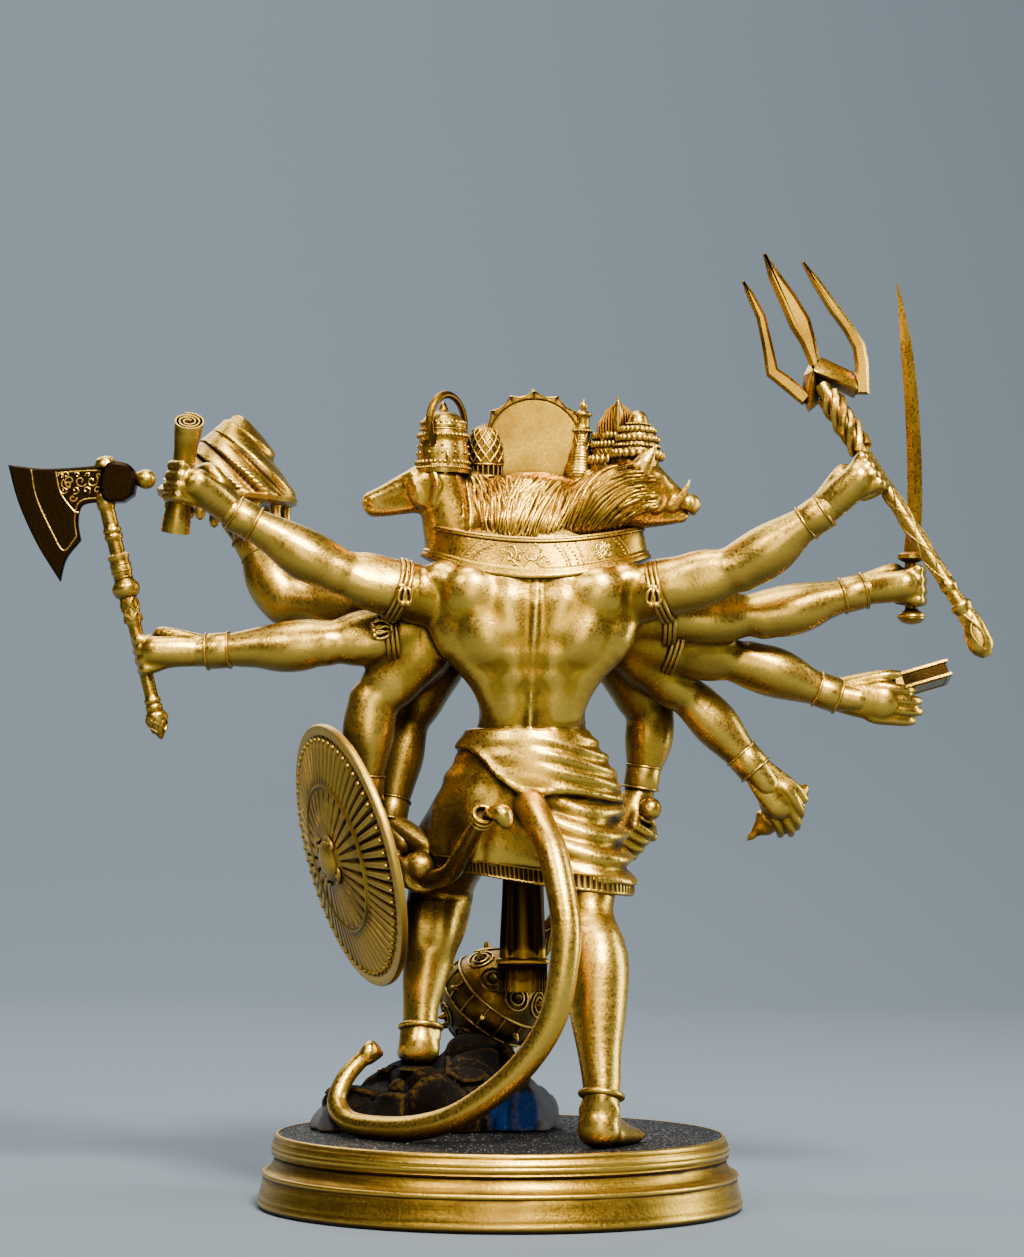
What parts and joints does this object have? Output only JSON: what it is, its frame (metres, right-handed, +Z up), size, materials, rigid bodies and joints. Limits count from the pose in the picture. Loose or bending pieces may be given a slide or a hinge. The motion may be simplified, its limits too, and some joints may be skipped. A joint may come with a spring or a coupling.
{
  "type": "panchamukhi hanuman statue",
  "caption": "Gilded figurine of a many-armed, many-headed monkey-deity standing with one foot on a rock, on a round moulded plinth, holding traditional arms and emblems.",
  "frame": {"origin": "centre of the plinth's underside, where the statue stands", "axes": "+Z up, -Y is the way the figure faces, +X is the figure's left hand side"},
  "size_m": [0.2988, 0.148, 0.2916],
  "materials": {
    "antique_gold": "antique gold with a dark brown wash left in the recesses, satin and worn brighter on the high spots",
    "plinth_gold": "antique gold moulding with a brown wash, round a black grained top",
    "rock_stone": "dark brown and black painted stone with rubbed bronze edges, pale grey sides and a blue patch"
  },
  "bodies": {
    "root": {"plinth": "plinth_gold", "rock": "rock_stone", "figure": "antique_gold", "axe": "antique_gold", "scroll": "antique_gold", "crook": "antique_gold", "trident": "antique_gold", "sword": "antique_gold", "mace": "antique_gold", "mountain": "antique_gold", "shield": "antique_gold", "book": "antique_gold", "conch": "antique_gold"}
  },
  "joints": []
}
